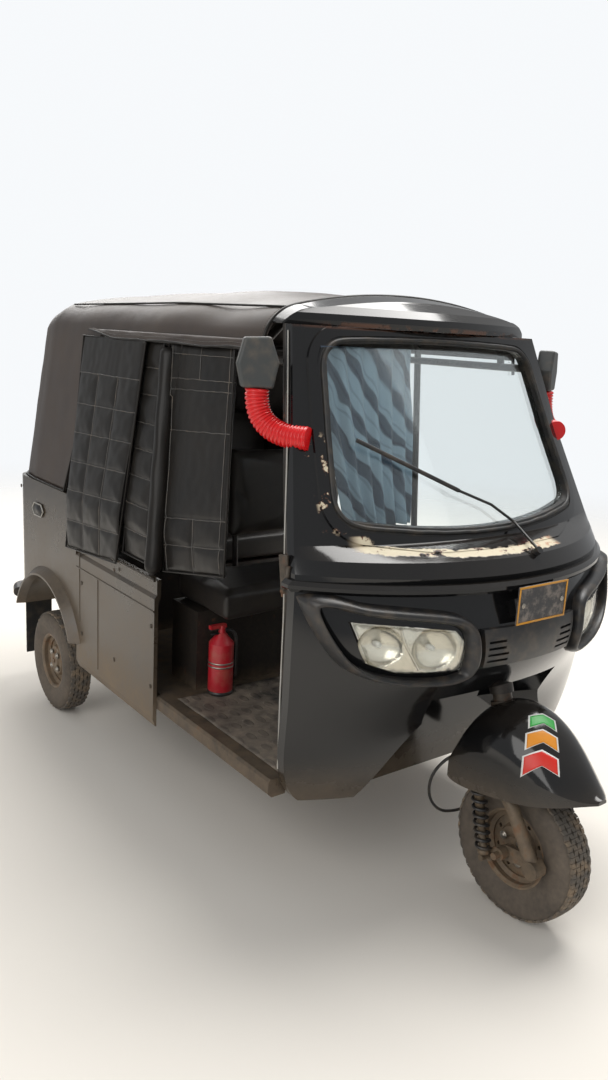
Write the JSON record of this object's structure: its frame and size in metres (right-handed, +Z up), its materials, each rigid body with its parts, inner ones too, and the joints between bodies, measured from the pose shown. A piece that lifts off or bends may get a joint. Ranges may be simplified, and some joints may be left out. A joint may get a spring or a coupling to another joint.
{
  "type": "auto rickshaw",
  "caption": "Three-wheeled passenger carrier with a steered front wheel, a hooded cab, bench seats and a rear engine under a hatch.",
  "frame": {"origin": "on the ground under the middle of the vehicle's bounding box", "axes": "+Z up, -Y towards the front of the vehicle, -X towards its right side"},
  "size_m": [1.329, 2.647, 1.7399],
  "materials": {
    "black_paint": "gloss black paint, dusty and chipped",
    "black_plastic": "moulded black plastic",
    "seal_rubber": "black rubber",
    "tyre_rubber": "dusty tyre",
    "screen_glass": "clear laminated glass",
    "lamp_glass": "clear lamp lens with reflectors",
    "lamp_red": "red lamp lens",
    "boot_red": "bright red corrugated boot",
    "extinguisher_red": "red enamel",
    "plate": "dark blank plate with a yellow border",
    "frame_steel": "black painted steel, worn",
    "running_gear": "dusty painted steel",
    "engine_alloy": "cast alloy, dusty",
    "rim_steel": "pressed steel, dusty",
    "vinyl_seat": "black vinyl",
    "vinyl_canopy": "grey-brown coated canvas",
    "vinyl_curtain": "quilted black vinyl"
  },
  "bodies": {
    "body": {"floor_pan": "frame_steel", "frame_rails": "frame_steel", "frame_crossmembers": "frame_steel", "steering_head": "frame_steel", "front_cowl": "black_paint", "windscreen_frame": "black_paint", "windscreen_seal": "seal_rubber", "windscreen_glass": "screen_glass", "roof_header": "black_paint", "belt_moulding": "black_paint", "headlamps": "lamp_glass", "headlamp_mouldings": "black_plastic", "grille_panel": "black_plastic", "number_plate": "plate", "wiper": "black_plastic", "mirror_heads": "black_plastic", "mirror_boots": "boot_red", "door_pillars": "frame_steel", "side_panel_right": "black_paint", "rear_quarter_right": "black_paint", "rear_quarter_left": "black_paint", "rear_panel": "black_paint", "rear_bumper": "black_plastic", "tail_lamps": "lamp_red", "mud_flaps": "seal_rubber", "driver_seat_base": "frame_steel", "driver_seat_cushion": "vinyl_seat", "driver_seat_back": "vinyl_seat", "passenger_seat_base": "frame_steel", "passenger_seat_cushion": "vinyl_seat", "passenger_seat_back": "vinyl_seat", "hood_frame": "frame_steel", "canopy": "vinyl_canopy", "curtain_rear_flap": "vinyl_curtain", "curtain_front": "vinyl_curtain", "dashboard": "black_plastic", "extinguisher": "extinguisher_red", "engine_block": "engine_alloy", "rear_suspension": "running_gear"},
    "steering": {"steering_fork": "running_gear", "front_suspension": "running_gear", "front_springs": "running_gear", "brake_hose": "seal_rubber", "front_mudguard": "black_paint", "handlebar": "running_gear"},
    "front_wheel": {"front_tyre": "tyre_rubber", "front_rim": "rim_steel"},
    "rear_wheel_right": {"rear_tyre_right": "tyre_rubber", "rear_rim_right": "rim_steel"},
    "rear_wheel_left": {"rear_tyre_left": "tyre_rubber", "rear_rim_left": "rim_steel"},
    "hatch": {"engine_hatch": "black_paint"}
  },
  "joints": [
    {"name": "steering_turn", "type": "hinge", "parent": "body", "child": "steering", "pos_m": [0, -0.9491, 0.66186], "axis": [0, 0.3256, 0.9455], "range_deg": [-38, 38]},
    {"name": "front_wheel_spin", "type": "hinge", "parent": "steering", "child": "front_wheel", "pos_m": [0, -1.088, 0.208], "axis": [1, 0, 0], "continuous": true},
    {"name": "rear_wheel_right_spin", "type": "hinge", "parent": "body", "child": "rear_wheel_right", "pos_m": [-0.572, 0.897, 0.208], "axis": [1, 0, 0], "continuous": true},
    {"name": "rear_wheel_left_spin", "type": "hinge", "parent": "body", "child": "rear_wheel_left", "pos_m": [0.572, 0.897, 0.208], "axis": [1, 0, 0], "continuous": true},
    {"name": "hatch_hinge", "type": "hinge", "parent": "body", "child": "hatch", "pos_m": [0, 1.259, 0.806], "axis": [1, 0, 0], "range_deg": [0, 70]}
  ]
}
